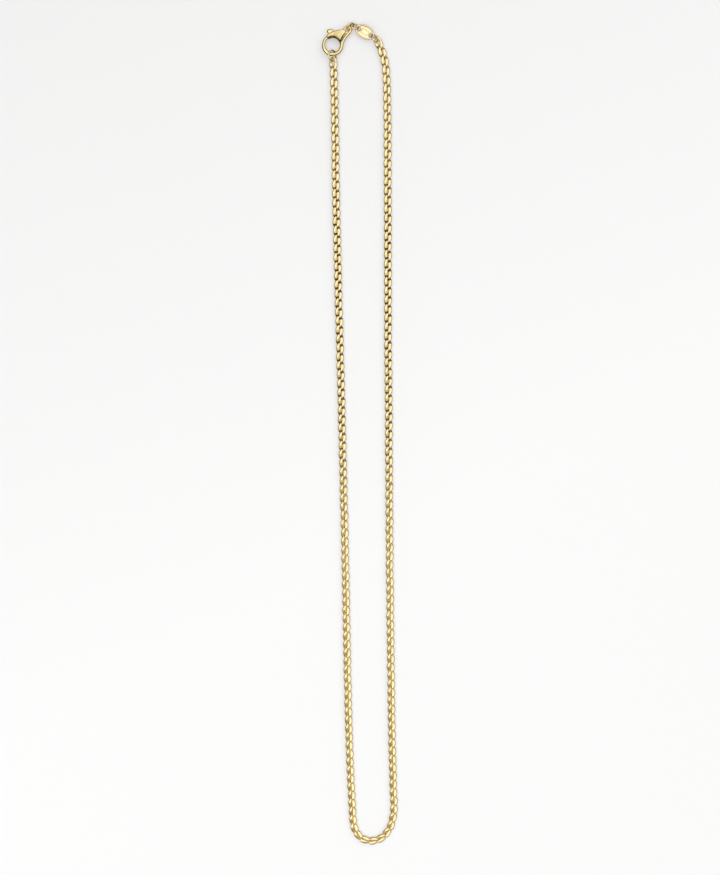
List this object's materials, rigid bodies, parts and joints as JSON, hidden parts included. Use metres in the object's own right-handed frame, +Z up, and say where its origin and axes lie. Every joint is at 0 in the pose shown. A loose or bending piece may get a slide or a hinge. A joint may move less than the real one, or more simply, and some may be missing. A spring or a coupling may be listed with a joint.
{
  "type": "curb chain necklace",
  "caption": "Fine gold neck chain of flat twisted links, lying closed in a long narrow loop, with a trigger clasp, small round rings and a bare oval tag.",
  "frame": {"origin": "on the surface that the necklace lies on, under the middle of its loop", "axes": "+Y along the loop to the end with the clasp, +X to the right as seen from above with the clasp at the top, +Z up from the surface"},
  "size_m": [0.0204, 0.2243, 0.0024],
  "materials": {
    "gold": "polished yellow gold"
  },
  "bodies": {
    "necklace": {"chain": "gold", "first_links": "gold", "last_links": "gold", "clasp_body": "gold", "clasp_pin": "gold", "end_ring": "gold", "jump_ring": "gold", "tag_link": "gold", "oval_tag": "gold", "tag_ring": "gold"},
    "lever": {"clasp_lever": "gold"}
  },
  "joints": [
    {"name": "lever_hinge", "type": "hinge", "parent": "necklace", "child": "lever", "pos_m": [-0.00582, 0.10882, 0.0011], "axis": [0, 0, 1], "range_deg": [0, 22], "stiffness_Nm_per_rad": 0.00002, "springref_deg": -11.46}
  ]
}
